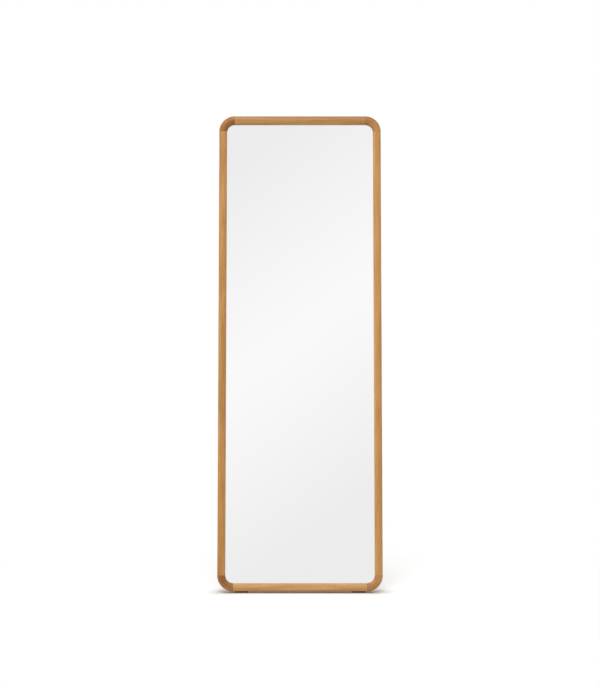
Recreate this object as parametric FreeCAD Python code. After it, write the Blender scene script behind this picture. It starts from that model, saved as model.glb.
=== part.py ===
import FreeCAD, Part

# Leaning floor mirror, in millimetres.
#
# Four straight oak bars and four quarter-turn oak corner blocks share one section and are
# dowelled together into a rounded frame. A deep rebate behind the crowned face takes, from
# front to rear: cushion strip, mirror glass, safety film, mounting tape and backing board.
#
# Every piece is first built in mirror space: X to the right, Y from the frame's front to its
# rear, Z up along the frame from its bottom edge. stand() then leans it back onto the floor.
# After that +Z is up, the wall is behind at +Y, the floor is z = 0, and the origin is on the
# floor, midway across the width and midway between the frame's foremost line and the wall.
import math
import os

from FreeCAD import Placement, Rotation, Vector

# Frame
frame_width = 600.0
frame_height = 1750.0
lean_deg = 5.0
face_width = 28.0  # of the bars, seen from the front
corner_radius = 57.0  # outer outline; a corner block spans exactly the turn
crown_radius = 26.0  # convex front face
edge_radius = 4.0  # blends the crown into both sides
rear_chamfer = 1.0

# Rebate, measured across the bar
lip_width = 7.5  # wood that stands inward past the glass rebate
ledge_width = 8.5  # carries the backing board, outside the glass
glass_recess = 18.0  # front of the crown to the glass
cushion_thick = 1.0
cushion_inset = 1.0  # the cushion strip stays back from the sight edge

# Corner joints
dowel_radius = 3.0
dowel_length = 30.0
dowel_chamfer = 0.8
dowel_to_glass = 8.0  # from the middle of a dowel inward to the rebate's wall
dowel_front = 9.5  # front dowel, behind the front of the crown
dowel_spacing = 9.0  # from the front dowel back to the rear one
dowel_end_gap = 0.5  # glue space past each end
dowel_fit = 0.05

# Glass, and what lies behind it
glass_thick = 4.0
glass_gap = 1.0  # all round, inside the rebate
film_thick = 0.4
film_margin = 1.0  # the film stops short of the glass edge
tape_thick = 1.6
tape_width = 25.0
tape_count = 4
tape_end_gap = 40.0
block_length = 60.0  # setting blocks under the glass
block_offset = 140.0  # from the middle of the frame
board_thick = 6.0
board_gap = 0.5

# Countersunk screws round the backing board
board_screw_radius = 1.5
board_screw_head_radius = 2.8
board_screw_length = 16.0
stile_screw_count = 6
rail_screw_count = 3
screw_end_gap = 30.0  # from a corner joint to the first screw

# Foot pads and wall bumpers, both cut to the lean, and their pan-head screws
foot_length = 50.0
foot_depth = 20.0
foot_rear_gap = 2.0  # in from the frame's rear face
foot_thin = 3.5  # at the pad's rear edge
foot_corner_radius = 4.0
foot_screw_spacing = 26.0
bumper_radius = 8.0
bumper_thin = 3.5  # at the bumper's upper edge
pad_web = 1.5  # rubber under a screw head
pad_hole_gap = 0.4  # rubber to screw head
pad_screw_radius = 1.75
pad_screw_head_radius = 3.2
pad_screw_head_height = 1.6
pad_screw_head_round = 1.1
pad_screw_length = 16.0

# Hanger straps, their countersunk screws and their rings
strap_width = 12.0
strap_length = 38.0  # from the ring's axis down to the strap's end
strap_thick = 1.2
strap_screw_near = 12.0  # below the ring's axis
strap_screw_far = 30.0
strap_screw_radius = 1.75
strap_screw_head_radius = 2.8
strap_screw_length = 20.0
ring_wire_radius = 1.3
ring_inner_width = 17.0
ring_leg = 6.0  # from the ring's axis to its round end
ring_bend_radius = 2.5
ring_fit = 0.05

# Screws in general
screw_tip = 3.0  # length of the point
screw_fit = 0.05
board_hole_gap = 0.25  # round a shank that passes through the board

# Levels behind the front of the crown
shoulder_y = glass_recess - cushion_thick
film_y = glass_recess + glass_thick
tape_y = film_y + film_thick
ledge_y = tape_y + tape_thick
frame_depth = ledge_y + board_thick

# Distances in from the frame's outer edge
glass_wall = face_width - lip_width
land_width = glass_wall - ledge_width  # rear face outside the backing board
glass_edge = glass_wall + glass_gap
board_edge = land_width + board_gap
screw_line = (land_width + glass_wall) / 2
dowel_line = glass_wall - dowel_to_glass

SIDES = ("left_stile", "top_rail", "right_stile", "bottom_rail")
CORNERS = (  # each follows the side of the same number, clockwise from the front
    "corner_block_top_left",
    "corner_block_top_right",
    "corner_block_bottom_right",
    "corner_block_bottom_left",
)
HANDS = {"left": -1, "right": 1}
ZERO = Vector(0, 0, 0)
ACROSS = Vector(1, 0, 0)
REARWARD = Vector(0, 1, 0)
UP = Vector(0, 0, 1)
QUARTER = 90.0
FULL_TURN = 360.0


# --- Shared helpers ---------------------------------------------------------------------


def placed(shape, placement):
    moved = shape.copy()
    moved.Placement = placement.multiply(moved.Placement)
    return moved


def moved_to(shape, point, rotation=Rotation()):
    return placed(shape, Placement(point, rotation))


def on_arc(x, y, radius, angle):
    """A point of an arc about (x, y), its angle taken from the forward direction to +X."""
    return Vector(x + radius * math.sin(angle), y - radius * math.cos(angle), 0)


def spindle(outline):
    """The solid that a closed half outline of (radius, height) pairs turns about Z."""
    corners = [Vector(radius, 0, height) for radius, height in outline]
    return Part.Face(Part.makePolygon(corners + corners[:1])).revolve(ZERO, UP, FULL_TURN)


# --- Sides of the frame -----------------------------------------------------------------
# A side has its own space: X in from the outer edge, Y rearward, Z along the bar. Going
# clockwise from the left stile, each side is turned a quarter further about Y.


def side_length(turn):
    return (frame_width if turn % 2 else frame_height) - 2 * corner_radius


def side_space(turn):
    half = frame_width / 2
    starts = (
        Vector(-half, 0, corner_radius),
        Vector(corner_radius - half, 0, frame_height),
        Vector(half, 0, frame_height - corner_radius),
        Vector(half - corner_radius, 0, 0),
    )
    return Placement(starts[turn], Rotation(REARWARD, QUARTER * turn))


def section_face():
    """The section that bars and corner blocks share."""
    middle = face_width / 2
    blend = math.asin((middle - edge_radius) / (crown_radius - edge_radius))
    half_blend = (blend + math.pi / 2) / 2
    edge_y = crown_radius - (crown_radius - edge_radius) * math.cos(blend)
    outer_side = Vector(0, edge_y, 0)
    outer_blend = on_arc(middle, crown_radius, crown_radius, -blend)
    inner_blend = on_arc(middle, crown_radius, crown_radius, blend)
    inner_side = Vector(face_width, edge_y, 0)
    outer_middle = on_arc(edge_radius, edge_y, edge_radius, -half_blend)
    inner_middle = on_arc(face_width - edge_radius, edge_y, edge_radius, half_blend)
    edges = [
        Part.Arc(outer_side, outer_middle, outer_blend).toShape(),
        Part.Arc(outer_blend, Vector(middle, 0, 0), inner_blend).toShape(),
        Part.Arc(inner_blend, inner_middle, inner_side).toShape(),
    ]
    rebate_and_rear = [
        inner_side,
        Vector(face_width, shoulder_y, 0),
        Vector(glass_wall, shoulder_y, 0),
        Vector(glass_wall, ledge_y, 0),
        Vector(land_width, ledge_y, 0),
        Vector(land_width, frame_depth, 0),
        Vector(rear_chamfer, frame_depth, 0),
        Vector(0, frame_depth - rear_chamfer, 0),
        outer_side,
    ]
    for start, end in zip(rebate_and_rear, rebate_and_rear[1:]):
        edges.append(Part.LineSegment(start, end).toShape())
    return Part.Face(Part.Wire(edges))


def outline_face(inset):
    """The frame's rounded outline, drawn in by inset, as a face at the front of the crown."""
    radius = corner_radius - inset
    reach = radius * math.sqrt(0.5)
    edges = []
    for turn in range(len(SIDES)):
        length = side_length(turn)
        start = Vector(inset, 0, 0)
        end = Vector(inset, 0, length)
        middle = Vector(corner_radius - reach, 0, length + reach)
        following = Vector(corner_radius, 0, length + radius)
        for curve in (Part.LineSegment(start, end), Part.Arc(end, middle, following)):
            edges.append(placed(curve.toShape(), side_space(turn)))
    return Part.Face(Part.Wire(Part.__sortEdges__(edges)))


def sheet(inset, front_y, thick):
    """A flat layer with the frame's outline, drawn in by inset."""
    face = outline_face(inset)
    face.translate(REARWARD * front_y)
    return face.extrude(REARWARD * thick)


# --- Screws and dowels ------------------------------------------------------------------
# A screw points down -Z. A countersunk one has the top of its head at z = 0, and a pan-head
# one the underside of its head.

INTO_REAR = Rotation(UP, REARWARD)
INTO_BOTTOM = Rotation(ACROSS, 2 * QUARTER)


def countersunk(radius, head_radius, length, gap=0.0):
    """A countersunk screw, or with a gap the hole that it goes through."""
    head_height = head_radius - radius
    return spindle(
        (
            (0, gap),
            (head_radius + gap, gap),
            (head_radius + gap, 0),
            (radius + gap, -head_height),
            (radius + gap, screw_tip - length),
            (0, -length - gap),
        )
    )


def shank(radius, length, gap=0.0):
    """A pointed shank from z = 0, or with a gap the hole that it goes through."""
    return spindle(((0, 0), (radius + gap, 0), (radius + gap, screw_tip - length), (0, -length - gap)))


def board_screw(gap=0.0):
    return countersunk(board_screw_radius, board_screw_head_radius, board_screw_length, gap)


def strap_screw(gap=0.0):
    return countersunk(strap_screw_radius, strap_screw_head_radius, strap_screw_length, gap)


def pad_screw():
    head = Part.makeCylinder(pad_screw_head_radius, pad_screw_head_height)
    rim = [edge for edge in head.Edges if edge.BoundBox.ZMin > pad_screw_head_height / 2]
    head = head.makeFillet(pad_screw_head_round, rim)
    return head.fuse(shank(pad_screw_radius, pad_screw_length))


def pad_screw_bore(gap):
    return shank(pad_screw_radius, pad_screw_length, gap)


def dowel(fit=0.0, end_gap=0.0):
    """A dowel along Z with its middle on the joint, or with a fit its bore."""
    half = dowel_length / 2 + end_gap
    tip = dowel_radius + fit - dowel_chamfer
    side = dowel_radius + fit
    return spindle(
        (
            (0, -half),
            (tip, -half),
            (side, dowel_chamfer - half),
            (side, half - dowel_chamfer),
            (tip, half),
            (0, half),
        )
    )


def dowels_of_side(turn, fit=0.0, end_gap=0.0):
    """The dowels at both ends of a bar, or with a fit their bores."""
    pegs = []
    for along in (0.0, side_length(turn)):
        for behind in (dowel_front, dowel_front + dowel_spacing):
            peg = moved_to(dowel(fit, end_gap), Vector(dowel_line, behind, along))
            pegs.append(placed(peg, side_space(turn)))
    return pegs


# --- Where the fasteners go, in mirror space --------------------------------------------


def screw_pitch(turn):
    count = rail_screw_count if turn % 2 else stile_screw_count
    return (side_length(turn) - 2 * screw_end_gap) / (count - 1)


def board_screw_places():
    places = []
    for turn in range(len(SIDES)):
        count = rail_screw_count if turn % 2 else stile_screw_count
        for step in range(count):
            along = screw_end_gap + step * screw_pitch(turn)
            places.append(side_space(turn).multVec(Vector(screw_line, frame_depth, along)))
    return places


# The straps sit midway between the two topmost screws of each stile, so that they clear both.
hanger_x = frame_width / 2 - screw_line
hanger_z = frame_height - corner_radius - screw_end_gap - screw_pitch(0) / 2
barrel_radius = ring_wire_radius + ring_fit + strap_thick

# The feet are centred on the outer screws of the bottom rail, between their own two screws.
foot_x = side_length(1) / 2 - screw_end_gap
foot_y = frame_depth - foot_rear_gap - foot_depth / 2

# The bumpers sit halfway round the top corners, over the ledge that carries the board.
bumper_reach = (corner_radius - screw_line) * math.sqrt(0.5)
bumper_x = frame_width / 2 - corner_radius + bumper_reach
bumper_z = frame_height - corner_radius + bumper_reach


def strap_screw_places():
    rear = frame_depth + strap_thick
    return [
        Vector(hand * hanger_x, rear, hanger_z - below)
        for hand in HANDS.values()
        for below in (strap_screw_near, strap_screw_far)
    ]


def foot_screw_places(hand):
    half = foot_screw_spacing / 2
    return [Vector(hand * foot_x + aside, foot_y, -pad_web) for aside in (-half, half)]


def bumper_screw_place(hand):
    return Vector(hand * bumper_x, frame_depth + pad_web, bumper_z)


def screw_bores(gap):
    """Every screw's hole through the wood or the board, wide by gap round the shank."""
    bores = [moved_to(board_screw(gap), place, INTO_REAR) for place in board_screw_places()]
    bores += [moved_to(strap_screw(gap), place, INTO_REAR) for place in strap_screw_places()]
    for hand in HANDS.values():
        bores.append(moved_to(pad_screw_bore(gap), bumper_screw_place(hand), INTO_REAR))
        for place in foot_screw_places(hand):
            bores.append(moved_to(pad_screw_bore(gap), place, INTO_BOTTOM))
    return bores


# --- Standing the mirror on the floor ---------------------------------------------------


def lean(point):
    return Rotation(ACROSS, -lean_deg).multVec(point)


floor_before = lean(Vector(0, frame_depth - foot_rear_gap, -foot_thin)).z
wall_before = lean(Vector(0, frame_depth + bumper_thin, bumper_z + bumper_radius)).y
front_before = lean(Vector(0, crown_radius, face_width / 2)).y - crown_radius
onto_floor = Vector(0, -(front_before + wall_before) / 2, -floor_before)
wall_y = wall_before + onto_floor.y


def stand(shape):
    """A shape of mirror space where it stands on the floor."""
    return moved_to(shape, onto_floor, Rotation(ACROSS, -lean_deg))


def stand_point(point):
    return lean(point) + onto_floor


# --- Pieces, each where it stands -------------------------------------------------------


def bar(turn):
    blank = placed(section_face().extrude(UP * side_length(turn)), side_space(turn))
    return stand(blank.cut(dowels_of_side(turn, dowel_fit, dowel_end_gap) + screw_bores(screw_fit)))


def corner_block(turn):
    """The section turned a quarter round the corner that follows side number turn."""
    end = side_length(turn)
    face = moved_to(section_face(), UP * end)
    blank = face.revolve(Vector(corner_radius, 0, end), REARWARD, QUARTER)
    following = (turn + 1) % len(SIDES)
    bores = dowels_of_side(turn, dowel_fit, dowel_end_gap)
    bores += dowels_of_side(following, dowel_fit, dowel_end_gap)
    return stand(placed(blank, side_space(turn)).cut(bores + screw_bores(screw_fit)))


def corner_dowels():
    pegs = [peg for turn in range(len(SIDES)) for peg in dowels_of_side(turn)]
    return Part.makeCompound([stand(peg) for peg in pegs])


def glass_cushion():
    band = sheet(glass_edge, shoulder_y, cushion_thick)
    return stand(band.cut(sheet(face_width - cushion_inset, shoulder_y, cushion_thick)))


def mirror_glass():
    return stand(sheet(glass_edge, glass_recess, glass_thick))


def safety_film():
    return stand(sheet(glass_edge + film_margin, film_y, film_thick))


def setting_blocks():
    blocks = []
    for hand in HANDS.values():
        corner = Vector(hand * block_offset - block_length / 2, glass_recess, glass_wall)
        blocks.append(stand(Part.makeBox(block_length, glass_thick, glass_gap, corner)))
    return Part.makeCompound(blocks)


def mounting_tape():
    """Upright strips, spread evenly over the glass, with half a pitch outside the outer two."""
    film_edge = glass_edge + film_margin
    pitch = (frame_width - 2 * film_edge) / tape_count
    bottom = film_edge + tape_end_gap
    length = frame_height - 2 * bottom
    strips = []
    for number in range(tape_count):
        left = film_edge + (number + 0.5) * pitch - (frame_width + tape_width) / 2
        corner = Vector(left, tape_y, bottom)
        strips.append(stand(Part.makeBox(tape_width, tape_thick, length, corner)))
    return Part.makeCompound(strips)


def backing_board():
    panel = sheet(board_edge, ledge_y, board_thick)
    return stand(panel.cut(screw_bores(board_hole_gap)))


def backing_screws():
    places = board_screw_places()
    return Part.makeCompound([stand(moved_to(board_screw(), place, INTO_REAR)) for place in places])


def hanger_screws():
    places = strap_screw_places()
    return Part.makeCompound([stand(moved_to(strap_screw(), place, INTO_REAR)) for place in places])


def pad_screws():
    screws = []
    for hand in HANDS.values():
        screws.append(moved_to(pad_screw(), bumper_screw_place(hand), INTO_REAR))
        screws += [moved_to(pad_screw(), place, INTO_BOTTOM) for place in foot_screw_places(hand)]
    return Part.makeCompound([stand(screw) for screw in screws])


def pad_screw_hole(depth):
    """The stepped hole in a rubber pad: the head's pocket above z = 0, the shank below."""
    pocket = Part.makeCylinder(pad_screw_head_radius + pad_hole_gap, depth)
    return pocket.fuse(Part.makeCylinder(pad_screw_radius + screw_fit, depth, ZERO, -UP))


def foot_pad(hand):
    """A rubber wedge under the bottom rail, level with the floor once the mirror leans."""
    deepest = foot_thin + foot_depth
    corner = Vector(hand * foot_x - foot_length / 2, foot_y - foot_depth / 2, -deepest)
    block = Part.makeBox(foot_length, foot_depth, deepest, corner)
    uprights = [edge for edge in block.Edges if edge.tangentAt(edge.FirstParameter).isParallel(UP, 1e-6)]
    block = block.makeFillet(foot_corner_radius, uprights)
    holes = [moved_to(pad_screw_hole(deepest), p, INTO_BOTTOM) for p in foot_screw_places(hand)]
    below_floor = Part.makeBox(frame_width, frame_width, frame_width)
    below_floor.translate(Vector(-frame_width / 2, -frame_width, -frame_width))
    return stand(block.cut(holes)).cut(below_floor)


def wall_bumper(hand):
    """A round rubber bumper whose face is upright once the mirror leans."""
    deepest = bumper_thin + bumper_radius
    disc = moved_to(Part.makeCylinder(bumper_radius, deepest), Vector(0, 0, -pad_web))
    disc = moved_to(disc.cut(pad_screw_hole(deepest)), bumper_screw_place(hand), INTO_REAR)
    behind_wall = Part.makeBox(frame_width, frame_width, frame_height)
    behind_wall.translate(Vector(-frame_width / 2, wall_y, 0))
    return stand(disc).cut(behind_wall)


def hanger_strap(hand):
    """A steel strap with a round lower end, curled round the ring's bar at its upper end."""
    half = strap_width / 2
    round_z = half - strap_length
    edges = [
        Part.LineSegment(Vector(-half, 0, round_z), Vector(-half, 0, 0)),
        Part.LineSegment(Vector(-half, 0, 0), Vector(half, 0, 0)),
        Part.LineSegment(Vector(half, 0, 0), Vector(half, 0, round_z)),
        Part.Arc(Vector(half, 0, round_z), Vector(0, 0, -strap_length), Vector(-half, 0, round_z)),
    ]
    plate = Part.Face(Part.Wire([edge.toShape() for edge in edges])).extrude(REARWARD * strap_thick)
    left_end = Vector(-half, barrel_radius, 0)
    curl = Part.makeCylinder(barrel_radius, strap_width, left_end, ACROSS)
    bore = Part.makeCylinder(ring_wire_radius + ring_fit, strap_width, left_end, ACROSS)
    strap = moved_to(plate.fuse(curl).cut(bore), Vector(hand * hanger_x, frame_depth, hanger_z))
    holes = [moved_to(strap_screw(screw_fit), place, INTO_REAR) for place in strap_screw_places()]
    return stand(strap.cut(holes))


def ring_axis(hand):
    """The middle of the ring's bar, where the mirror stands."""
    return stand_point(Vector(hand * hanger_x, frame_depth + barrel_radius, hanger_z))


def hanger_ring(hand):
    """A round-ended wire ring that hangs plumb from the strap's curl, whatever the lean."""
    half = ring_inner_width / 2 + ring_wire_radius
    straight = half - ring_bend_radius
    cut_back = ring_bend_radius * (1 - math.sqrt(0.5))
    corners = {
        side: (
            Vector(side * straight, 0, 0),
            Vector(side * (half - cut_back), 0, -cut_back),
            Vector(side * half, 0, -ring_bend_radius),
        )
        for side in (-1, 1)
    }
    left_foot, right_foot = Vector(-half, 0, -ring_leg), Vector(half, 0, -ring_leg)
    path = [
        Part.LineSegment(corners[-1][0], corners[1][0]),
        Part.Arc(*corners[1]),
        Part.LineSegment(corners[1][2], right_foot),
        Part.Arc(right_foot, Vector(0, 0, -ring_leg - half), left_foot),
        Part.LineSegment(left_foot, corners[-1][2]),
        Part.Arc(*reversed(corners[-1])),
    ]
    spine = Part.Wire([curve.toShape() for curve in path])
    wire_end = Part.Wire(Part.makeCircle(ring_wire_radius, corners[-1][0], ACROSS))
    return moved_to(spine.makePipeShell([wire_end], True, True), ring_axis(hand))


def pieces():
    """Every piece by name."""
    shapes = {name: bar(turn) for turn, name in enumerate(SIDES)}
    shapes.update({name: corner_block(turn) for turn, name in enumerate(CORNERS)})
    shapes["corner_dowels"] = corner_dowels()
    shapes["glass_cushion"] = glass_cushion()
    shapes["mirror_glass"] = mirror_glass()
    shapes["safety_film"] = safety_film()
    shapes["setting_blocks"] = setting_blocks()
    shapes["mounting_tape"] = mounting_tape()
    shapes["backing_board"] = backing_board()
    shapes["backing_screws"] = backing_screws()
    shapes["hanger_screws"] = hanger_screws()
    shapes["pad_screws"] = pad_screws()
    for name, hand in HANDS.items():
        shapes[f"foot_pad_{name}"] = foot_pad(hand)
        shapes[f"wall_bumper_{name}"] = wall_bumper(hand)
        shapes[f"hanger_strap_{name}"] = hanger_strap(hand)
        shapes[f"hanger_ring_{name}"] = hanger_ring(hand)
    return shapes


os.makedirs("parts", exist_ok=True)
for node, shape in pieces().items():
    shape.exportStep(f"parts/{node}.step")
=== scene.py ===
import math

import bmesh
import bpy
from mathutils import Matrix, Vector


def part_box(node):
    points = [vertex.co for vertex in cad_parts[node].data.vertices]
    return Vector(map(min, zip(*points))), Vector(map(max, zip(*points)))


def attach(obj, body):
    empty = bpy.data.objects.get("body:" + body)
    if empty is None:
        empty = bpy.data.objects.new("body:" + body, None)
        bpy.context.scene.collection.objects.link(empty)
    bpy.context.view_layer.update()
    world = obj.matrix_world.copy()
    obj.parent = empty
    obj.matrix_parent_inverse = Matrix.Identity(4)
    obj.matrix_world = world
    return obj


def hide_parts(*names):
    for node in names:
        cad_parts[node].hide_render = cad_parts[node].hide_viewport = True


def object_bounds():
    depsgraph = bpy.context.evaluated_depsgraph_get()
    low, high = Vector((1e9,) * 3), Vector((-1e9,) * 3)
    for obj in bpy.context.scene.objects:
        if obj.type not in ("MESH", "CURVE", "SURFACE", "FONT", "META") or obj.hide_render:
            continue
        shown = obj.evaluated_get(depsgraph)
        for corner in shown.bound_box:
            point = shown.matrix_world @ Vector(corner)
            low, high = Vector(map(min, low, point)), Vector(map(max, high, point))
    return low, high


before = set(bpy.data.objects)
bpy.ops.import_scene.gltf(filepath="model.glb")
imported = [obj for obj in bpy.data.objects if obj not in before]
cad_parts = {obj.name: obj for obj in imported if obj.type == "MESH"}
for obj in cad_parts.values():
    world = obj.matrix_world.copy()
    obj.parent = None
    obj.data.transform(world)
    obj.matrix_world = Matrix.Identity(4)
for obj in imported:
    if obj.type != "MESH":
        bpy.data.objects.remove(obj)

cad_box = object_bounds()

# --- Sizes ------------------------------------------------------------------------------

MM = 0.001
LEAN = math.radians(5)
QUARTER = math.radians(90)
DIAGONAL = math.radians(45)
OUTWARD = Vector((0, math.cos(LEAN), -math.sin(LEAN)))  # out of the frame's rear face
DOWNWARD = Vector((0, -math.sin(LEAN), -math.cos(LEAN)))  # out of the frame's bottom edge

# Camera: level, near the mirror's middle height, square to it
CAMERA_AHEAD = 5.45  # from the frame's foremost line
CAMERA_HEIGHT = 0.905
IMAGE_HEIGHT_PX = 686
FOCAL_PX = 1506
SENSOR = 36.0  # millimetres, along the longer side of the picture

# Lamps: place, size and power of each, and the point that all of them face
KEY_AT, KEY_SIZE, KEY_POWER = Vector((-0.15, -3.0, 4.2)), 2.0, 96.0
SIDE_AT, SIDE_SIZE, SIDE_POWER = Vector((-3.2, -1.6, 1.2)), 1.6, 28.0
BACK_AT, BACK_SIZE, BACK_POWER = Vector((0.8, 3.6, 2.6)), 3.0, 34.0
AIM = Vector((0, 0, 0.85))

# Room. The mirror shows pale walls, brightest along a slanting band.
SKY_LIGHT = 0.4  # what the room adds to the lamps
BAND_HEIGHT = 0.18  # of the band above the horizon, straight ahead of the mirror
BAND_SLOPE = 0.69
BAND_CORE = 0.015
BAND_HALF = 0.14
WALL_FAR, WALL_BAND = "#F0F0F0", "#FDFDFD"

# Floor. It takes light and shadow near the mirror, and is plain white further off. What it
# gives the camera on top of the light that it takes is only seen, and lights nothing.
FLOOR_HALF = 40.0
FLOOR_LIFT = 0.38
FLOOR_NEAR, FLOOR_FAR = 0.35, 1.3  # between these distances it turns to plain white
# Painted shade: in crevices the floor's paint turns to the darker colour, and its lift fades.
FLOOR_PAINT, PAINTED_CREVICE_SHADE = "#F2F2F2", "#C6BEB2"
CREVICE = 0.08  # narrower crevices than this darken the floor
CREVICE_FALL = 3.0  # how fast they do: the power of what is still open

# Screws: radii of the shank and the head, and lengths
BOARD_SCREW = {"shank": 1.5 * MM, "head": 2.8 * MM, "length": 16 * MM}
STRAP_SCREW = {"shank": 1.75 * MM, "head": 2.8 * MM, "length": 20 * MM}
PAD_SCREW = {"shank": 1.75 * MM, "head": 3.2 * MM, "height": 1.6 * MM, "length": 16 * MM}
SCREW_TIP = 3 * MM
POINT_RADIUS = 0.15 * MM
RIM_BREAK = 0.12 * MM
PAN_ROUND = 0.9 * MM
PAN_ANGLES = (90, 60, 30, 0)  # degrees, along the round of a pan head
SEGMENTS = 40
RECESS_HALF_LENGTH = 1.55 * MM
RECESS_HALF_WIDTH = 0.36 * MM
RECESS_DEPTH = 1.1 * MM
RECESS_TAPER = 0.55  # width of the recess's floor, as a share of its mouth
SCREW_TURN = 0.7  # radians from the cross of one screw to that of the next
SAME_POINT = 0.001 * MM
SAME_FACE = 0.01 * MM

BARS = ("left_stile", "right_stile", "top_rail", "bottom_rail")


# --- Where things are -------------------------------------------------------------------


def upright(point):
    """A point turned back by the lean, so that the frame stands upright."""
    return Matrix.Rotation(LEAN, 3, "X") @ point


def upright_frame():
    """The lowest, foremost and leftmost values of the upright frame, and its size."""
    points = [upright(v.co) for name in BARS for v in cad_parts[name].data.vertices]
    low = Vector([min(p[axis] for p in points) for axis in range(3)])
    high = Vector([max(p[axis] for p in points) for axis in range(3)])
    return low, high - low


CORNER, SIZE = upright_frame()
JOINT_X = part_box("top_rail")[1][0]  # the butt joints of the rails are this far from the middle
JOINT_Z = SIZE.z / 2 - (SIZE.x / 2 - JOINT_X)  # those of the stiles, from the middle height


# --- What the materials share -----------------------------------------------------------

SMOOTH = {"interpolation_type": "SMOOTHSTEP"}
COLOURS = {"data_type": "RGBA"}
FACTOR, FIRST, SECOND, MIXED = 0, 6, 7, 2  # sockets of a Mix node that mixes colours
NOISE_RANGE = (0.3, 0.7)  # noise seldom leaves this


def colour(code):
    """An sRGB hex colour as the linear values that shaders take."""
    parts = [int(code[i : i + 2], 16) / 255 for i in (1, 3, 5)]
    return [c / 12.92 if c <= 0.04045 else ((c + 0.055) / 1.055) ** 2.4 for c in parts] + [1.0]


def add(tree, kind, settings, feeds):
    """A new node with its settings, and what feeds its inputs: a value, a node or a socket."""
    made = tree.nodes.new(f"ShaderNode{kind}")
    for name, value in settings.items():
        setattr(made, name, value)
    for name, value in feeds.items():
        if isinstance(value, bpy.types.Node):
            value = value.outputs[0]
        if isinstance(value, bpy.types.NodeSocket):
            tree.links.new(value, made.inputs[name])
        else:
            made.inputs[name].default_value = value
    return made


def new_material(name, finish):
    """A material with what is the same all over set on the shader's own sockets, and the
    place on the object that its patterns follow."""
    material = bpy.data.materials.new(name)
    material.use_nodes = True
    tree = material.node_tree
    shader = tree.nodes["Principled BSDF"]
    for socket, value in finish.items():
        shader.inputs[socket].default_value = value
    place = add(tree, "TexCoord", {}, {}).outputs["Object"]
    return material, tree, shader, place


def patches(tree, place, width, length=1, detail=3.0, roughness=0.5):
    """Soft irregular patches: their width in metres, and how many widths long they are."""
    drawn_out = add(tree, "VectorMath", {"operation": "MULTIPLY"}, {0: place, 1: (1, 1, 1 / length)})
    feeds = {"Vector": drawn_out, "Scale": 1 / width, "Detail": detail, "Roughness": roughness}
    return add(tree, "TexNoise", {}, feeds).outputs["Fac"]


def tinted(tree, tone, pattern, low, high, tint, at_low=0.0, at_high=1.0, how="MIX"):
    """A tone that takes on a tint by a share from at_low to at_high, as a pattern runs from
    low to high."""
    ends = {"Value": pattern, "From Min": low, "From Max": high, "To Min": at_low, "To Max": at_high}
    share = add(tree, "MapRange", SMOOTH, ends)
    feeds = {FACTOR: share, FIRST: tone, SECOND: colour(tint)}
    return add(tree, "Mix", {**COLOURS, "blend_type": how}, feeds).outputs[MIXED]


def surface(tree, shader, tone, sheen, relief):
    """Feeds the shader. sheen is a pattern, its ends and the roughness at each. relief is a
    pattern, its depth in metres and its strength. Without a tone the shader keeps its own."""
    pattern, low, high, smoother, rougher = sheen
    ends = {"Value": pattern, "From Min": low, "From Max": high, "To Min": smoother, "To Max": rougher}
    height, depth, strength = relief
    feeds = {"Height": height, "Distance": depth, "Strength": strength}
    tree.links.new(add(tree, "MapRange", SMOOTH, ends).outputs[0], shader.inputs["Roughness"])
    tree.links.new(add(tree, "Bump", {}, feeds).outputs[0], shader.inputs["Normal"])
    if tone:
        tree.links.new(tone, shader.inputs["Base Color"])


def dress(material, *nodes):
    """Gives CAD nodes a material in all their slots."""
    for node in nodes:
        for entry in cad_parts[node].material_slots:
            entry.material = material


# --- Oak --------------------------------------------------------------------------------

# Each piece of oak: lighter early wood, darker late wood, how far the grain is turned from
# upright about the depth axis, where in the tree the piece was cut, how much darker it gets
# towards its joint with a rail and towards its joint with a stile, and how much painted shade
# darkens it on the inner side of its turn.
OAK_PIECES = {
    "left_stile": ("#CB975A", "#AE7A3B", 0.0, (0.13, 0.02, 0.31), 0.0, 0.0, 0.0),
    "right_stile": ("#D29D61", "#B78444", 0.0, (0.71, 0.16, 0.83), 0.0, 0.0, 0.0),
    # The top rail's tones are written darker and the bottom rail's lighter, partly as the wood's own tone
    # and partly as painted light: more light falls on the bottom rail.
    "top_rail": ("#BE8C50", "#A27033", QUARTER, (0.43, 0.27, 0.57), 0.0, 0.0, 0.0),
    "bottom_rail": ("#DEAE76", "#C69356", QUARTER, (0.92, 0.35, 0.11), 0.0, 0.0, 0.0),
    "corner_block_top_left": ("#BA823A", "#9E6724", DIAGONAL, (0.27, 0.48, 0.68), 0.0, 0.0, 0.5),
    "corner_block_top_right": ("#CF975C", "#B47E41", -DIAGONAL, (0.59, 0.53, 0.23), 0.45, 0.0, 0.15),
    "corner_block_bottom_left": ("#C28D52", "#A8743A", -DIAGONAL, (0.84, 0.64, 0.45), 0.0, 0.4, 0.3),
    "corner_block_bottom_right": ("#D39E64", "#B78448", DIAGONAL, (0.36, 0.72, 0.97), 0.25, 0.1, 0.1),
}
OAK_PORE = "#6B4420"
GLUE_LINE = "#5A3B1E"
# Width of each streak, and how many widths long it is
RING_WIDTH, RING_LENGTH = 2.6 * MM, 60
FIGURE_WIDTH, FIGURE_LENGTH = 14 * MM, 12
PORE_WIDTH, PORE_LENGTH = 0.45 * MM, 26
# The ends between which each streak sets in, and how much it then counts
RING_ENDS = (0.36, 0.64, 0.55)
FIGURE_ENDS = (0.34, 0.66, 0.45)
PORE_ENDS = (0.56, 0.7, 0.45)
END_GRAIN = (0.12, 0.75)  # how squarely the surface cuts the grain: none to full end grain
END_GRAIN_SHARE = 0.75
BLOCK_SPAN = 40 * MM  # from the middle of a block's turn to either joint
# Painted shade: between these radii a block's inner shade fades out.
TURN_INSIDE, TURN_OUTSIDE = 40 * MM, 54 * MM  # radii of a block's turn where its tone changes
JOINT_HALF_WIDTH = 0.7 * MM  # a hairline in wood, drawn as wide as it needs to show
JOINT_SHARE = 0.5


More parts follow.
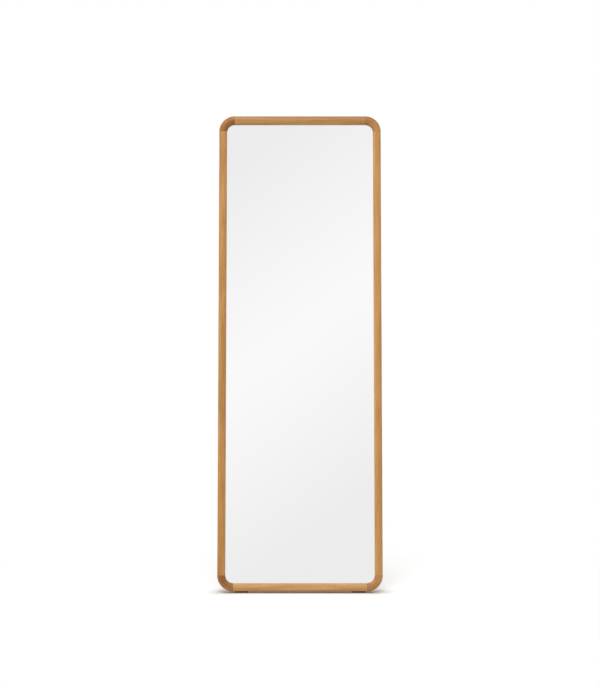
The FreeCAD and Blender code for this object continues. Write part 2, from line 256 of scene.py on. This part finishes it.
def oak(node, early, late, turn, cut_at, rail_end, stile_end, painted_inner_shade):
    """White oak, planed and sanded, under a clear satin lacquer. To the eye: fine straight
    streaks from the growth rings, short dark pores, a soft sheen, and darker end grain."""
    finish = {"Specular IOR Level": 0.32, "Coat Weight": 0.05, "Coat Roughness": 0.3}
    material, tree, shader, place = new_material(f"oak_{node}", finish)
    feeds = {"Vector": place, "Rotation": (LEAN, 0, 0), "Location": -CORNER - SIZE / 2}
    standing = add(tree, "Mapping", {}, feeds)
    feeds = {"Vector": standing, "Rotation": (0, -turn, 0), "Location": cut_at}
    grain = add(tree, "Mapping", {}, feeds)

    rings = patches(tree, grain, RING_WIDTH, RING_LENGTH, 2.0, 0.45)
    figure = patches(tree, grain, FIGURE_WIDTH, FIGURE_LENGTH)
    pores = patches(tree, grain, PORE_WIDTH, PORE_LENGTH, 2.0, 0.6)
    shares = []
    for pattern, (low, high, most) in ((rings, RING_ENDS), (figure, FIGURE_ENDS), (pores, PORE_ENDS)):
        ends = {"Value": pattern, "From Min": low, "From Max": high, "To Max": most}
        shares.append(add(tree, "MapRange", SMOOTH, ends))
    ring_share, figure_share, pore_share = shares
    wood = add(tree, "Math", {"operation": "ADD"}, {0: ring_share, 1: figure_share})
    feeds = {FACTOR: wood, FIRST: colour(early), SECOND: colour(late)}
    clear_wood = add(tree, "Mix", COLOURS, feeds).outputs[MIXED]
    feeds = {FACTOR: pore_share, FIRST: clear_wood, SECOND: colour(OAK_PORE)}
    tone = add(tree, "Mix", COLOURS, feeds).outputs[MIXED]

    # End grain drinks more lacquer: where the surface is cut across the grain it is darker.
    direction = Matrix.Rotation(-LEAN, 3, "X") @ Vector((math.sin(turn), 0, math.cos(turn)))
    normal = add(tree, "NewGeometry", {}, {}).outputs["Normal"]
    facing = add(tree, "VectorMath", {"operation": "DOT_PRODUCT"}, {0: normal, 1: direction})
    squarely = add(tree, "Math", {"operation": "ABSOLUTE"}, {0: facing.outputs["Value"]})
    tone = tinted(tree, tone, squarely, *END_GRAIN, late, 0.0, END_GRAIN_SHARE, "MULTIPLY")

    # How far past the planes of the rail and stile joints a point is
    apart = add(tree, "SeparateXYZ", {}, {"Vector": standing})
    past = []
    for axis, joint in ((0, JOINT_X), (2, JOINT_Z)):
        reach = add(tree, "Math", {"operation": "ABSOLUTE"}, {0: apart.outputs[axis]})
        past.append(add(tree, "Math", {"operation": "SUBTRACT"}, {0: reach, 1: joint}))

    # The tone of a block drifts from one joint to the other, as the board it was cut from did.
    drift = add(tree, "Math", {"operation": "SUBTRACT"}, {0: past[0], 1: past[1]})
    tone = tinted(tree, tone, drift, -BLOCK_SPAN, BLOCK_SPAN, late, rail_end, stile_end, "MULTIPLY")

    # Painted shade, partly the block's own figure: towards the inner side of its turn a block is darker.
    across = add(tree, "CombineXYZ", {}, {"X": past[0], "Y": past[1]})
    radius = add(tree, "VectorMath", {"operation": "LENGTH"}, {0: across}).outputs["Value"]
    tone = tinted(tree, tone, radius, TURN_INSIDE, TURN_OUTSIDE, late, painted_inner_shade, 0.0, "MULTIPLY")

    # The glued butt joints show as hairlines.
    gaps = [add(tree, "Math", {"operation": "ABSOLUTE"}, {0: distance}) for distance in past]
    nearest = add(tree, "Math", {"operation": "MINIMUM"}, {0: gaps[0], 1: gaps[1]})
    tone = tinted(tree, tone, nearest, 0.0, JOINT_HALF_WIDTH, GLUE_LINE, JOINT_SHARE, 0.0)

    relief = add(tree, "Math", {"operation": "SUBTRACT"}, {0: rings, 1: pore_share})
    surface(tree, shader, tone, (figure, *NOISE_RANGE, 0.4, 0.52), (relief, 0.12 * MM, 0.6))
    return material


# --- Other materials --------------------------------------------------------------------

# Rubber pieces: colour and width of the moulded grain
FOOT_RUBBER = ("#232322", 0.5 * MM)
BUMPER_RUBBER = ("#2A2A28", 0.4 * MM)
BLOCK_RUBBER = ("#1F1F1F", 0.6 * MM)
RUBBER_BLOOM = "#34332F"

# Zinc-plated pieces: light and dark clouds, width of the grain, roughness from clear to cloudy
STRAP_ZINC = ("#C9CCCE", "#B2B6B9", 0.3 * MM, 0.26, 0.38)
WIRE_ZINC = ("#D2D4D5", "#BDC0C2", 0.25 * MM, 0.2, 0.3)
SCREW_ZINC = ("#D0CDBE", "#B9B49D", 0.2 * MM, 0.24, 0.36)

# Foam strips: cell middles lighter than cell walls
CUSHION_FOAM = ("#2C2C2C", "#161616")
TAPE_FOAM = ("#ECECE8", "#CFCFC9")

CELL = 0.6 * MM
THREAD_SPACING = 6 * MM


def silvered_glass():
    """Silvered float glass. To the eye: a neutral, nearly perfect reflection, with the
    faintest long-wave unevenness of the float line and a trace of haze."""
    finish = {"Base Color": colour("#FBFBFB"), "Metallic": 1.0}
    material, tree, shader, place = new_material("silvered_float_glass", finish)
    wave = patches(tree, place, 180 * MM, detail=1.0)
    haze = patches(tree, place, 35 * MM)
    surface(tree, shader, None, (haze, *NOISE_RANGE, 0.008, 0.022), (wave, 0.02 * MM, 0.3))
    return material


def fibreboard():
    """Medium-density fibreboard, sawn and sanded. To the eye: even tan with fine fibre
    flecks and a dry, matt face."""
    material, tree, shader, place = new_material("mdf_board", {"Specular IOR Level": 0.25})
    flecks = patches(tree, place, 1.1 * MM, detail=4.0, roughness=0.65)
    clouds = patches(tree, place, 90 * MM)
    tone = tinted(tree, colour("#C2A078"), flecks, 0.35, 0.7, "#9A7850")
    tone = tinted(tree, tone, clouds, *NOISE_RANGE, "#A58A63", 0.0, 0.22)
    surface(tree, shader, tone, (flecks, *NOISE_RANGE, 0.78, 0.9), (flecks, 0.08 * MM, 0.7))
    return material


def rubber(name, code, grain):
    """EPDM rubber, moulded. To the eye: near black, dull, with a fine spark-eroded grain."""
    material, tree, shader, place = new_material(name, {"Specular IOR Level": 0.35})
    fine = patches(tree, place, grain, roughness=0.6)
    bloom = patches(tree, place, 14 * MM, detail=2.0)
    tone = tinted(tree, colour(code), bloom, 0.35, 0.7, RUBBER_BLOOM, 0.0, 0.5)
    surface(tree, shader, tone, (fine, *NOISE_RANGE, 0.62, 0.82), (fine, 0.06 * MM, 0.8))
    return material


def zinc(name, light, dark, grain, clear, cloudy):
    """Steel, zinc plated and passivated. To the eye: cool grey metal, faintly cloudy."""
    material, tree, shader, place = new_material(name, {"Metallic": 1.0})
    clouds = patches(tree, place, 4 * MM)
    fine = patches(tree, place, grain, detail=2.0)
    tone = tinted(tree, colour(light), clouds, 0.35, 0.65, dark)
    surface(tree, shader, tone, (clouds, *NOISE_RANGE, clear, cloudy), (fine, 0.02 * MM, 0.5))
    return material


def foam(name, light, dark):
    """Closed-cell polyethylene foam strip. To the eye: matt, with a fine cell pattern."""
    material, tree, shader, place = new_material(name, {"Specular IOR Level": 0.2})
    cells = add(tree, "TexVoronoi", {}, {"Vector": place, "Scale": 1 / CELL}).outputs["Distance"]
    tone = tinted(tree, colour(dark), cells, 0.1, 0.8, light)
    surface(tree, shader, tone, (cells, 0.0, 0.8, 0.8, 0.95), (cells, 0.1 * MM, 0.6))
    return material


def splinter_film():
    """Polyethylene splinter film with a woven scrim. To the eye: milky, with a fine grid."""
    material, tree, shader, place = new_material("splinter_film", {"IOR": 1.51})
    feeds = {"Vector": place, "Scale": 1 / THREAD_SPACING, "Distortion": 0.2}
    threads = add(tree, "TexWave", {"bands_direction": "DIAGONAL"}, feeds).outputs["Fac"]
    tone = tinted(tree, colour("#C9CFD2"), threads, 0.7, 1.0, "#E6E9EA", 0.0, 0.6)
    surface(tree, shader, tone, (threads, 0.0, 1.0, 0.35, 0.5), (threads, 0.05 * MM, 0.5))
    return material


def beech():
    """Steamed beech dowel rod, turned. To the eye: pinkish tan with short fine flecks."""
    material, tree, shader, place = new_material("beech_dowel", {"IOR": 1.5})
    flecks = patches(tree, place, 0.6 * MM, 12)
    tone = tinted(tree, colour("#D5AE85"), flecks, 0.35, 0.65, "#B98D62")
    surface(tree, shader, tone, (flecks, *NOISE_RANGE, 0.5, 0.62), (flecks, 0.05 * MM, 0.5))
    return material


# --- Screws -----------------------------------------------------------------------------


def islands(node):
    """The separate solids of a node, each as the list of its points."""
    work = bmesh.new()
    work.from_mesh(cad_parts[node].data)
    bmesh.ops.remove_doubles(work, verts=work.verts, dist=SAME_POINT)
    waiting = set(work.verts)
    found = []
    while waiting:
        group, fresh = set(), [waiting.pop()]
        while fresh:
            point = fresh.pop()
            group.add(point)
            near = {e.other_vert(point) for e in point.link_edges} & waiting
            waiting -= near
            fresh += near
        found.append([v.co.copy() for v in group])
    work.free()
    return sorted(found, key=lambda group: tuple(min(group)))


def head_of(points, outward):
    """The middle of the screw's outermost face, from all the points that lie in it."""
    top = max(p.dot(outward) for p in points)
    face = [p for p in points if top - p.dot(outward) < SAME_FACE]
    return sum(face, Vector()) / len(face)


def recess_outline(share):
    """The twelve corners of a cross, its width a share of the mouth's."""
    long, wide = RECESS_HALF_LENGTH * share, RECESS_HALF_WIDTH * share
    arm = [(long, -wide), (long, wide), (wide, wide)]
    outline = []
    for quarter in range(4):
        turn = Matrix.Rotation(quarter * QUARTER, 2)
        outline += [turn @ Vector(corner) for corner in arm]
    return outline


def ring_of(work, points, height):
    return [work.verts.new((p[0], p[1], height)) for p in points]


def walls(work, upper, lower):
    """Quads between two rings, facing outward where upper is above lower."""
    for i in range(len(upper)):
        j = (i + 1) % len(upper)
        work.faces.new((upper[i], lower[i], lower[j], upper[j]))


def screw_mesh(work, place, profile):
    """Adds a screw with a cross recess. profile runs from the rim of its top to its point."""
    own = bmesh.new()
    turns = [2 * math.pi * i / SEGMENTS for i in range(SEGMENTS)]
    rings = []
    for radius, height in profile:
        circle = [(radius * math.cos(t), radius * math.sin(t)) for t in turns]
        rings.append(ring_of(own, circle, height))
    for upper, lower in zip(rings, rings[1:]):
        walls(own, upper, lower)
    own.faces.new(reversed(rings[-1]))
    top = profile[0][1]
    mouth = ring_of(own, recess_outline(1.0), top)
    floor = ring_of(own, recess_outline(RECESS_TAPER), top - RECESS_DEPTH)
    walls(own, floor, mouth)
    own.faces.new(floor)
    rims = []
    for loop in (rings[0], mouth):
        for i, vert in enumerate(loop):
            following = loop[(i + 1) % len(loop)]
            rims.append(own.edges.get((vert, following)))
    bmesh.ops.triangle_fill(own, use_beauty=True, edges=rims)
    bmesh.ops.recalc_face_normals(own, faces=own.faces)
    own.transform(place)
    copy = bpy.data.meshes.new("one_screw")
    own.to_mesh(copy)
    work.from_mesh(copy)
    own.free()
    bpy.data.meshes.remove(copy)


def countersunk_profile(shank, head, length):
    """Radii and heights from the top's rim to the point, the top at height 0."""
    return (
        (head - RIM_BREAK, 0.0),
        (head, -RIM_BREAK),
        (shank, shank - head),
        (shank, SCREW_TIP - length),
        (POINT_RADIUS, -length),
    )


def pan_profile(shank, head, height, length):
    """The same for a pan head with a rounded shoulder."""
    middle = head - PAN_ROUND
    angles = [math.radians(a) for a in PAN_ANGLES]
    shoulder = [(middle + PAN_ROUND * math.cos(a), PAN_ROUND * (math.sin(a) - 1)) for a in angles]
    return (
        *shoulder,
        (head, -height),
        (shank, -height),
        (shank, SCREW_TIP - length - height),
        (POINT_RADIUS, -length - height),
    )


def from_behind(points):
    """The way that the heads of the board's and the straps' screws face."""
    return OUTWARD


def from_behind_or_below(points):
    """The heads of the bumpers' screws face the wall, those of the foot pads' the floor."""
    return OUTWARD if points[0].z > SIZE.z / 2 else DOWNWARD


def screws(name, node, profile, material, way):
    """Detailed screws in place of a CAD node's plain ones. way gives from the points of a
    solid the direction that its head faces."""
    work = bmesh.new()
    for number, points in enumerate(islands(node)):
        outward = way(points)
        at_head = Matrix.Translation(head_of(points, outward))
        aimed = outward.to_track_quat("Z", "Y").to_matrix().to_4x4()
        screw_mesh(work, at_head @ aimed @ Matrix.Rotation(SCREW_TURN * number, 4, "Z"), profile)
    mesh = bpy.data.meshes.new(name)
    work.to_mesh(mesh)
    work.free()
    piece = bpy.data.objects.new(name, mesh)
    bpy.context.scene.collection.objects.link(piece)
    mesh.materials.append(material)
    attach(piece, "mirror")
    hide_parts(node)


# --- Studio -----------------------------------------------------------------------------


def lamp(name, at, size, power):
    data = bpy.data.lights.new(name, "AREA")
    data.size = size
    data.energy = power
    made = bpy.data.objects.new(name, data)
    made.location = at
    made.rotation_euler = (AIM - at).to_track_quat("-Z", "Y").to_euler()
    bpy.context.scene.collection.objects.link(made)


def any_ray(tree, *kinds):
    """1 for the named kinds of ray, and 0 for all others."""
    path = add(tree, "LightPath", {}, {})
    either = path.outputs[kinds[0]]
    for kind in kinds[1:]:
        either = add(tree, "Math", {"operation": "MAXIMUM"}, {0: either, 1: path.outputs[kind]}).outputs[0]
    return either


def studio_world():
    world = bpy.data.worlds.new("studio")
    world.use_nodes = True
    tree = world.node_tree
    tree.nodes.clear()
    way = add(tree, "TexCoord", {}, {}).outputs["Generated"]
    apart = add(tree, "SeparateXYZ", {}, {"Vector": way})
    feeds = {0: apart.outputs["X"], 1: -BAND_SLOPE, 2: apart.outputs["Z"]}
    slant = add(tree, "Math", {"operation": "MULTIPLY_ADD"}, feeds)
    off_band = add(tree, "Math", {"operation": "SUBTRACT"}, {0: slant, 1: BAND_HEIGHT})
    core = add(tree, "CombineXYZ", {}, {"X": off_band, "Y": BAND_CORE})
    aside = add(tree, "VectorMath", {"operation": "LENGTH"}, {0: core}).outputs["Value"]
    fall = add(tree, "MapRange", {}, {"Value": aside, "From Min": BAND_CORE, "From Max": BAND_HALF})
    feeds = {FACTOR: fall, FIRST: colour(WALL_BAND), SECOND: colour(WALL_FAR)}
    wall = add(tree, "Mix", COLOURS, feeds).outputs[MIXED]
    lit = add(tree, "Background", {}, {"Color": (1, 1, 1, 1), "Strength": SKY_LIGHT})
    room = add(tree, "Background", {}, {"Color": wall, "Strength": 1.0})
    white = add(tree, "Background", {}, {"Color": (1, 1, 1, 1), "Strength": 1.0})
    glossy = any_ray(tree, "Is Glossy Ray")
    through = any_ray(tree, "Is Camera Ray", "Is Transmission Ray")
    mirrored = add(tree, "MixShader", {}, {0: glossy, 1: lit, 2: room})
    both = add(tree, "MixShader", {}, {0: through, 1: mirrored, 2: white})
    add(tree, "OutputWorld", {}, {"Surface": both})
    bpy.context.scene.world = world


def studio_floor():
    mesh = bpy.data.meshes.new("studio_floor")
    half = FLOOR_HALF
    corners = [(-half, -half, 0), (half, -half, 0), (half, half, 0), (-half, half, 0)]
    mesh.from_pydata(corners, [], [(0, 1, 2, 3)])
    floor = bpy.data.objects.new("studio_floor", mesh)
    bpy.context.scene.collection.objects.link(floor)
    material = bpy.data.materials.new("matt_white_floor")
    material.use_nodes = True
    tree = material.node_tree
    tree.nodes.clear()
    seen = any_ray(tree, "Is Camera Ray", "Is Glossy Ray", "Is Transmission Ray")

    # Painted shade: in crevices the paint is darker, and the lift fades.
    above = add(tree, "AmbientOcclusion", {}, {"Distance": CREVICE}).outputs["AO"]
    clear_of_painted_shade = add(tree, "Math", {"operation": "POWER"}, {0: above, 1: CREVICE_FALL})
    feeds = {FACTOR: clear_of_painted_shade, FIRST: colour(PAINTED_CREVICE_SHADE), SECOND: colour(FLOOR_PAINT)}
    tone = add(tree, "Mix", COLOURS, feeds).outputs[MIXED]
    paint = add(tree, "BsdfDiffuse", {}, {"Color": tone})
    lifted = add(tree, "Math", {"operation": "MULTIPLY"}, {0: clear_of_painted_shade, 1: FLOOR_LIFT})
    strength = add(tree, "Math", {"operation": "MULTIPLY"}, {0: seen, 1: lifted})
    lift = add(tree, "Emission", {}, {"Strength": strength})
    near = add(tree, "AddShader", {}, {0: paint, 1: lift})

    # Further off the camera sees plain white.
    place = add(tree, "TexCoord", {}, {}).outputs["Object"]
    away = add(tree, "VectorMath", {"operation": "LENGTH"}, {0: place}).outputs["Value"]
    faded = add(tree, "MapRange", SMOOTH, {"Value": away, "From Min": FLOOR_NEAR, "From Max": FLOOR_FAR})
    share = add(tree, "Math", {"operation": "MULTIPLY"}, {0: seen, 1: faded})
    white = add(tree, "Emission", {}, {"Strength": 1.0})
    both = add(tree, "MixShader", {}, {0: share, 1: near, 2: white})
    add(tree, "OutputMaterial", {}, {"Surface": both})
    mesh.materials.append(material)


def camera():
    data = bpy.data.cameras.new("camera")
    data.sensor_width = SENSOR
    data.lens = SENSOR * FOCAL_PX / IMAGE_HEIGHT_PX
    made = bpy.data.objects.new("camera", data)
    made.location = (0, cad_box[0][1] - CAMERA_AHEAD, CAMERA_HEIGHT)
    made.rotation_euler = (QUARTER, 0, 0)
    bpy.context.scene.collection.objects.link(made)
    bpy.context.scene.camera = made


# --- Build ------------------------------------------------------------------------------

for node, piece in OAK_PIECES.items():
    dress(oak(node, *piece), node)
dress(silvered_glass(), "mirror_glass")
dress(fibreboard(), "backing_board")
dress(rubber("moulded_rubber", *FOOT_RUBBER), "foot_pad_left", "foot_pad_right")
dress(rubber("bumper_rubber", *BUMPER_RUBBER), "wall_bumper_left", "wall_bumper_right")
dress(rubber("setting_block_rubber", *BLOCK_RUBBER), "setting_blocks")
dress(zinc("zinc_plated_strap", *STRAP_ZINC), "hanger_strap_left", "hanger_strap_right")
dress(zinc("zinc_plated_wire", *WIRE_ZINC), "hanger_ring_left", "hanger_ring_right")
dress(foam("black_foam_strip", *CUSHION_FOAM), "glass_cushion")
dress(foam("white_foam_tape", *TAPE_FOAM), "mounting_tape")
dress(splinter_film(), "safety_film")
dress(beech(), "corner_dowels")

screw_zinc = zinc("zinc_plated_screw", *SCREW_ZINC)
board_profile = countersunk_profile(**BOARD_SCREW)
strap_profile = countersunk_profile(**STRAP_SCREW)
pad_profile = pan_profile(**PAD_SCREW)
screws("board_screws_detailed", "backing_screws", board_profile, screw_zinc, from_behind)
screws("strap_screws_detailed", "hanger_screws", strap_profile, screw_zinc, from_behind)
screws("pad_screws_detailed", "pad_screws", pad_profile, screw_zinc, from_behind_or_below)

lamp("key", KEY_AT, KEY_SIZE, KEY_POWER)
lamp("side", SIDE_AT, SIDE_SIZE, SIDE_POWER)
lamp("back", BACK_AT, BACK_SIZE, BACK_POWER)
studio_world()
studio_floor()
camera()
bpy.context.scene.view_settings.view_transform = "Standard"
